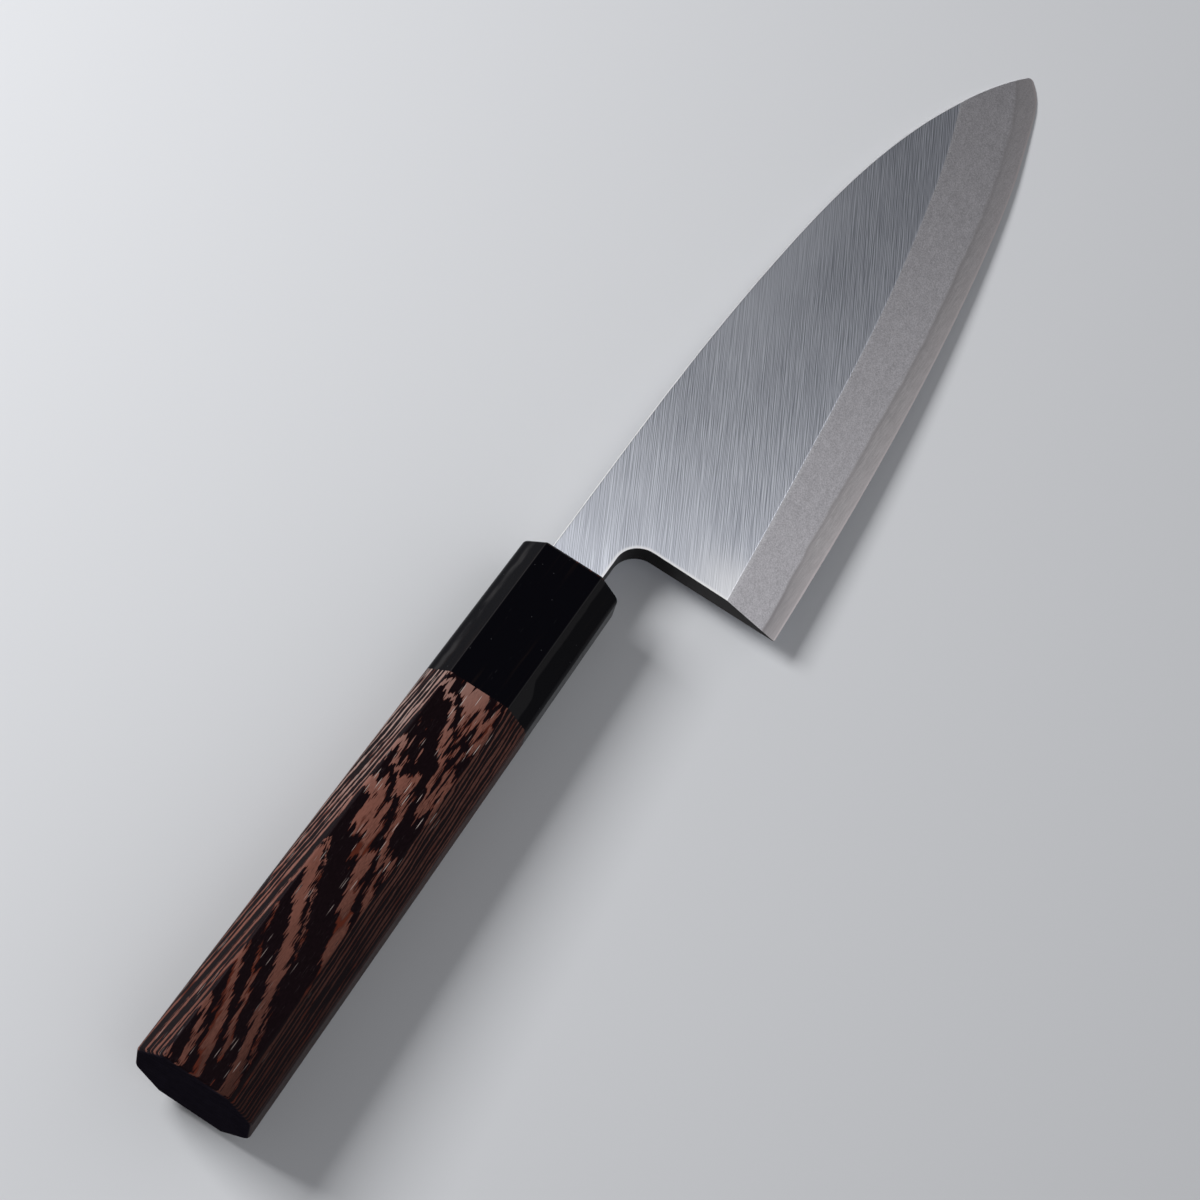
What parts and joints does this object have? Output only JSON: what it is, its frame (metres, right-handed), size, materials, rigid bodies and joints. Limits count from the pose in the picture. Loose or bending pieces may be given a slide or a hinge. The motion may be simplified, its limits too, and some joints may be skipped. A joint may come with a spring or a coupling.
{
  "type": "deba knife",
  "caption": "Kitchen knife with a thick single-bevel blade for fish, a notched neck, and an octagonal wooden handle with a dark ferrule.",
  "frame": {"origin": "middle of the flat underside of the handle's wooden part", "axes": "+X from the butt to the tip, +Y from the cutting edge to the spine, +Z out of the blade's flat face"},
  "size_m": [0.296, 0.0534, 0.02],
  "materials": {
    "blade_iron": "satin flat face with fine lines from spine to edge, and a matt blasted bevel",
    "hard_steel": "fine satin, slightly darker and warmer than the iron, with a narrow bright cutting edge",
    "horn": "black horn, half gloss with fine pits and fibre streaks",
    "dark_wood": "oiled dark brown open-pored wood with near-black bands, and a sealed black butt",
    "dowel_wood": "plain pale wood, not seen from outside",
    "filling": "matt dark brown-black resin"
  },
  "bodies": {
    "root": {"blade_body": "blade_iron", "edge_steel": "hard_steel", "ferrule": "horn", "handle_body": "dark_wood", "core_dowel": "dowel_wood", "mouth_seal": "filling"}
  },
  "joints": []
}
